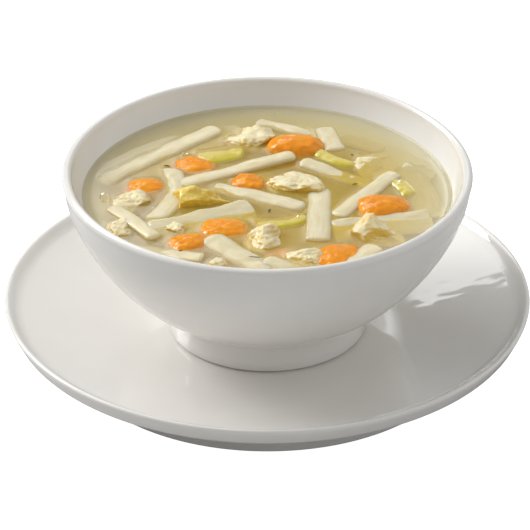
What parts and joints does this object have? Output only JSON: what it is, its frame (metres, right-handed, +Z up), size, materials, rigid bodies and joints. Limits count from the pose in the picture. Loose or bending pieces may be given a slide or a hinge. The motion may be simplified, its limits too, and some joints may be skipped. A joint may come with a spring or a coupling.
{
  "type": "chicken noodle soup in a footed bowl on a plate",
  "caption": "Footed white china bowl of clear broth with noodles, carrot, celery and chicken, on a wide plate.",
  "frame": {"origin": "middle of the plate's foot, on the table", "axes": "+Z up through the bowl's axis, -Y towards the front of the picture, +X to its right"},
  "size_m": [0.207, 0.207, 0.0809],
  "materials": {
    "china": "glossy white glaze",
    "broth": "wet, straw yellow, slightly cloudy",
    "pasta": "wet cooked egg noodle, cream",
    "carrot": "wet cooked carrot, orange",
    "chicken": "cooked breast meat, fibrous, cream to yellow",
    "celery": "wet cooked celery, yellow-green"
  },
  "bodies": {
    "root": {"bowl": "china", "broth": "broth", "carrot_back": "carrot", "carrot_back_left": "carrot", "carrot_front_left": "carrot", "carrot_front_middle": "carrot", "carrot_front_right": "carrot", "carrot_left": "carrot", "carrot_middle": "carrot", "carrot_right": "carrot", "celery_back_left": "celery", "celery_far_right": "celery", "celery_front": "celery", "celery_right": "celery", "chicken_back": "chicken", "chicken_back_right": "chicken", "chicken_crumb": "chicken", "chicken_front": "chicken", "chicken_front_left": "chicken", "chicken_front_middle": "chicken", "chicken_front_rim": "chicken", "chicken_left": "chicken", "chicken_left_middle": "chicken", "chicken_middle": "chicken", "chicken_right": "chicken", "noodle_back_left": "pasta", "noodle_back_short": "pasta", "noodle_back_top": "pasta", "noodle_broad_tipped": "pasta", "noodle_front_left": "pasta", "noodle_front_middle": "pasta", "noodle_front_rim": "pasta", "noodle_front_upright": "pasta", "noodle_left_curved": "pasta", "noodle_left_raised": "pasta", "noodle_middle": "pasta", "noodle_right_edge": "pasta", "noodle_right_low": "pasta", "noodle_right_top": "pasta", "noodle_rim_right": "pasta", "underplate": "china"}
  },
  "joints": []
}
